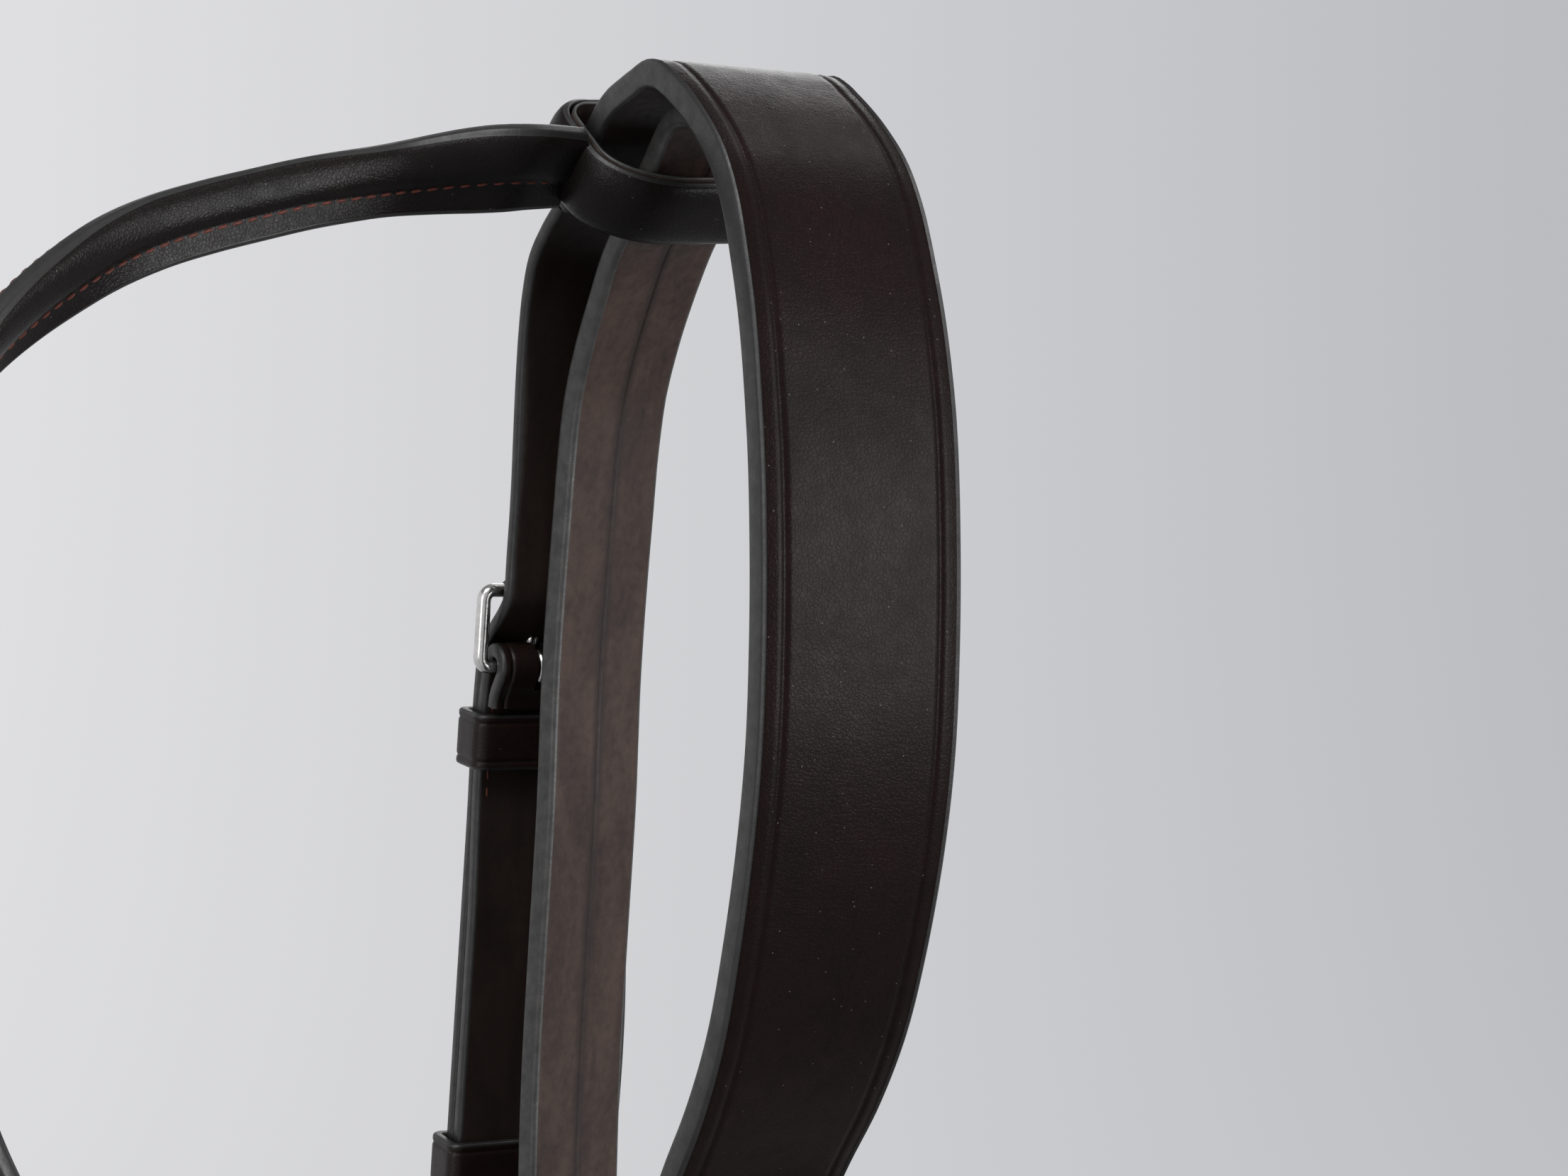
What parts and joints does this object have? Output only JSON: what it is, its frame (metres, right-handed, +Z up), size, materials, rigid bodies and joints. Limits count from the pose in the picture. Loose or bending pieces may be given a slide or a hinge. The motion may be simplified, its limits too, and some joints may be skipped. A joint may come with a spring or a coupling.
{
  "type": "jumping bridle",
  "caption": "Jumping bridle of dark leather straps hung by its headpiece: browband, cheekpieces with hook studs, throatlatch and raised cavesson noseband on roller buckles",
  "frame": {"origin": "the point of the hook or peg under the crest of the noseband headstrap, where the bridle hangs", "axes": "+Z up as it hangs, -X towards the horse's front (browband and nosepiece), -Y its near (left) side, +Y its off side"},
  "size_m": [0.2876, 0.1592, 0.5315],
  "materials": {
    "leather": "satin",
    "lining": "matte",
    "steel": "polished"
  },
  "bodies": {
    "straps": {"browband": "leather", "browband_loop_near": "leather", "browband_loop_off": "leather", "chin_buckle_frame": "steel", "chin_keeper": "leather", "chin_strap": "leather", "chin_tab": "leather", "headpiece": "leather", "near_cheek_billet": "leather", "near_cheek_buckle_frame": "steel", "near_cheek_keeper": "leather", "near_cheekpiece": "leather", "near_hook_stud": "steel", "near_throat_billet": "leather", "near_throat_buckle_frame": "steel", "near_throat_keeper": "leather", "noseband_headstrap": "lining", "nosepiece": "leather", "off_cheek_billet": "leather", "off_cheek_buckle_frame": "steel", "off_cheek_keeper": "leather", "off_cheekpiece": "leather", "off_hook_stud": "steel", "off_throat_billet": "leather", "off_throat_buckle_frame": "steel", "off_throat_keeper": "leather", "throatlatch": "leather"},
    "off_cheek_tongue": {"off_cheek_buckle_tongue": "steel"},
    "off_cheek_roller": {"off_cheek_buckle_roller": "steel"},
    "off_cheek_runner": {"off_cheek_runner": "leather"},
    "near_cheek_tongue": {"near_cheek_buckle_tongue": "steel"},
    "near_cheek_roller": {"near_cheek_buckle_roller": "steel"},
    "near_cheek_runner": {"near_cheek_runner": "leather"},
    "off_throat_tongue": {"off_throat_buckle_tongue": "steel"},
    "off_throat_runner": {"off_throat_runner": "leather"},
    "near_throat_tongue": {"near_throat_buckle_tongue": "steel"},
    "near_throat_runner": {"near_throat_runner": "leather"},
    "chin_tongue": {"chin_buckle_tongue": "steel"},
    "chin_roller": {"chin_buckle_roller": "steel"},
    "chin_runner": {"chin_runner": "leather"}
  },
  "joints": [
    {"name": "off_cheek_tongue_hinge", "type": "hinge", "parent": "straps", "child": "off_cheek_tongue", "pos_m": [-0.008, 0.0685, -0.0993], "axis": [-1, 0, 0], "range_deg": [0, 6.5]},
    {"name": "off_cheek_roller_turn", "type": "hinge", "parent": "straps", "child": "off_cheek_roller", "pos_m": [-0.008, 0.06635, -0.08446], "axis": [1, 0, 0], "continuous": true},
    {"name": "off_cheek_runner_slide", "type": "slide", "parent": "straps", "child": "off_cheek_runner", "axis": [0, -0.1435, 0.9897], "range_m": [-0.03, 0.06]},
    {"name": "near_cheek_tongue_hinge", "type": "hinge", "parent": "straps", "child": "near_cheek_tongue", "pos_m": [-0.008, 0.006, -0.295], "axis": [1, 0, 0], "range_deg": [0, 6.5]},
    {"name": "near_cheek_roller_turn", "type": "hinge", "parent": "straps", "child": "near_cheek_roller", "pos_m": [-0.008, 0.006, -0.28], "axis": [-1, 0, 0], "continuous": true},
    {"name": "near_cheek_runner_slide", "type": "slide", "parent": "straps", "child": "near_cheek_runner", "axis": [0, 0, 1], "range_m": [-0.03, 0.06]},
    {"name": "off_throat_tongue_hinge", "type": "hinge", "parent": "straps", "child": "off_throat_tongue", "pos_m": [0.0135, 0.0985, -0.235], "axis": [-1, 0, 0], "range_deg": [0, 6.5]},
    {"name": "off_throat_runner_slide", "type": "slide", "parent": "straps", "child": "off_throat_runner", "axis": [0, -0.2149, 0.9766], "range_m": [-0.012, 0.008]},
    {"name": "near_throat_tongue_hinge", "type": "hinge", "parent": "straps", "child": "near_throat_tongue", "pos_m": [0.0135, 0.002, -0.36], "axis": [1, 0, 0], "range_deg": [0, 6.5]},
    {"name": "near_throat_runner_slide", "type": "slide", "parent": "straps", "child": "near_throat_runner", "axis": [0, 0, 1], "range_m": [-0.012, 0.008]},
    {"name": "chin_tongue_hinge", "type": "hinge", "parent": "straps", "child": "chin_tongue", "pos_m": [0.086, 0.02555, -0.40475], "axis": [0, 0, -1], "range_deg": [0, 6.5]},
    {"name": "chin_roller_turn", "type": "hinge", "parent": "straps", "child": "chin_roller", "pos_m": [0.101, 0.02555, -0.40475], "axis": [0, 0, 1], "continuous": true},
    {"name": "chin_runner_slide", "type": "slide", "parent": "straps", "child": "chin_runner", "axis": [1, 0, 0], "range_m": [-0.016, 0.006]}
  ]
}
